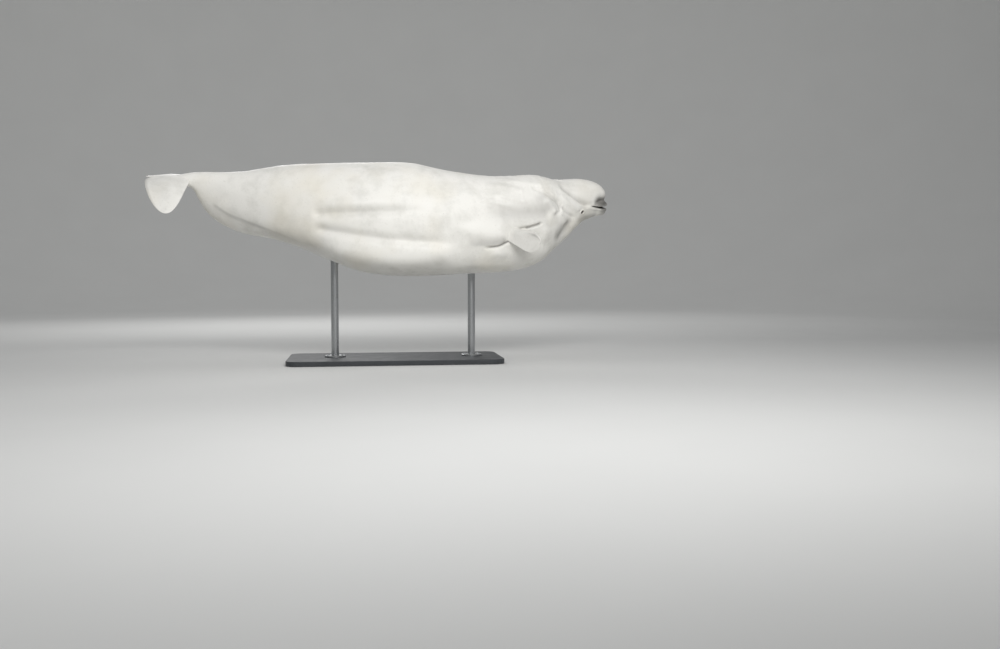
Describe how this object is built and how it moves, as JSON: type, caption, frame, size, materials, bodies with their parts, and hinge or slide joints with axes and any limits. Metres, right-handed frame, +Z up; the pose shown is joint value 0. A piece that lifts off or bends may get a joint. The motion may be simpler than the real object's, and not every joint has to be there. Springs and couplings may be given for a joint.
{
  "type": "beluga whale",
  "caption": "Life-size adult beluga whale swimming with its head turned away and tail twisted, held over a flat base by short rods.",
  "frame": {"origin": "centre of the underside of the stand's base, on the floor", "axes": "+X along the body towards the head, +Y towards the whale's left side, +Z up"},
  "size_m": [3.6923, 1.0939, 1.5981],
  "materials": {
    "skin": "smooth, satin, damp skin, creamy white with faint grey mottling",
    "eye": "wet gloss, near black",
    "stand_base": "fine satin powder coat, dark grey",
    "stand_rod": "brushed"
  },
  "bodies": {
    "root": {"head": "skin", "melon": "skin", "lower_jaw": "skin", "neck": "skin", "chest": "skin", "torso": "skin", "rump": "skin", "tail_stock": "skin", "flipper_right": "skin", "flipper_left": "skin", "fluke_right": "skin", "fluke_left": "skin", "eye_right": "eye", "eye_left": "eye", "stand_base": "stand_base", "stand_flange_front": "stand_rod", "stand_flange_rear": "stand_rod", "stand_rod_front": "stand_rod", "stand_rod_rear": "stand_rod"}
  },
  "joints": []
}
